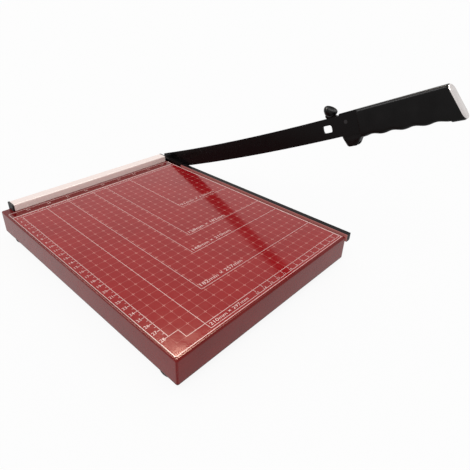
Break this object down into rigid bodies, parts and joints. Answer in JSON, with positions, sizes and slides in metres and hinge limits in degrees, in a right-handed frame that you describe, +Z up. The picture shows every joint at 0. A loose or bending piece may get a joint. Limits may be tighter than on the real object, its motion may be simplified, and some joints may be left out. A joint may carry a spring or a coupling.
{
  "type": "guillotine paper cutter",
  "caption": "Guillotine paper cutter: a shallow bed with a printed measuring grid, a paper fence across the rear, and a blade arm with a moulded grip hinged at the rear corner.",
  "frame": {"origin": "middle of the bed's upper face", "axes": "+Z up, +Y from the user's side towards the fence, +X to the user's right, where the blade is"},
  "size_m": [0.2667, 0.3982, 0.2053],
  "materials": {
    "tray_paint": "glossy deep red paint",
    "bed_film": "clear gloss over a deep red sheet with pale printed grid",
    "bar_steel": "dark ground steel",
    "zinc": "bright zinc",
    "channel_steel": "satin dark red paint",
    "foot_rubber": "matt black rubber",
    "fence_alloy": "satin anodised",
    "cap_plastic": "black moulded plastic",
    "block_paint": "satin black paint",
    "bolt_steel": "turned steel",
    "washer_steel": "plain steel",
    "spring_steel": "drawn spring wire",
    "keeper_steel": "bent zinc-plated strip",
    "blade_black": "glossy black coating, bare ground edge",
    "grip_plastic": "glossy black moulding",
    "screw_black": "black oxide",
    "end_cap_silver": "satin silver plating",
    "pin_steel": "ground pin",
    "lever_black": "black painted strip",
    "knob_plastic": "glossy black moulding"
  },
  "bodies": {
    "base": {"base_shell": "tray_paint", "grid_film": "bed_film", "counter_blade": "bar_steel", "counter_blade_screws": "zinc", "front_channel": "channel_steel", "rear_channel": "channel_steel", "foot_front_left": "foot_rubber", "foot_front_right": "foot_rubber", "foot_rear_left": "foot_rubber", "foot_rear_right": "foot_rubber", "foot_screws": "zinc", "paper_fence": "fence_alloy", "fence_cap_left": "cap_plastic", "fence_cap_right": "cap_plastic", "fence_screws": "zinc", "pivot_block": "block_paint", "pivot_block_screws": "zinc", "pivot_bolt": "bolt_steel", "pivot_washer": "washer_steel", "pivot_spring": "spring_steel", "catch_keeper": "keeper_steel", "keeper_screws": "zinc"},
    "blade_arm": {"blade": "blade_black", "grip_left": "grip_plastic", "grip_right": "grip_plastic", "grip_screws": "screw_black", "grip_end_cap": "end_cap_silver", "catch_pin": "pin_steel"},
    "safety_catch": {"catch_lever": "lever_black", "thumb_knob": "knob_plastic"}
  },
  "joints": [
    {"name": "arm_swing", "type": "hinge", "parent": "base", "child": "blade_arm", "pos_m": [0.1309, 0.1425, -0.0028], "axis": [-1, 0, 0], "range_deg": [-23.5, 41.5]},
    {"name": "catch_swing", "type": "hinge", "parent": "blade_arm", "child": "safety_catch", "pos_m": [0.1361, -0.13011, 0.12009], "axis": [1, 0, 0], "range_deg": [0, 13.5]}
  ]
}
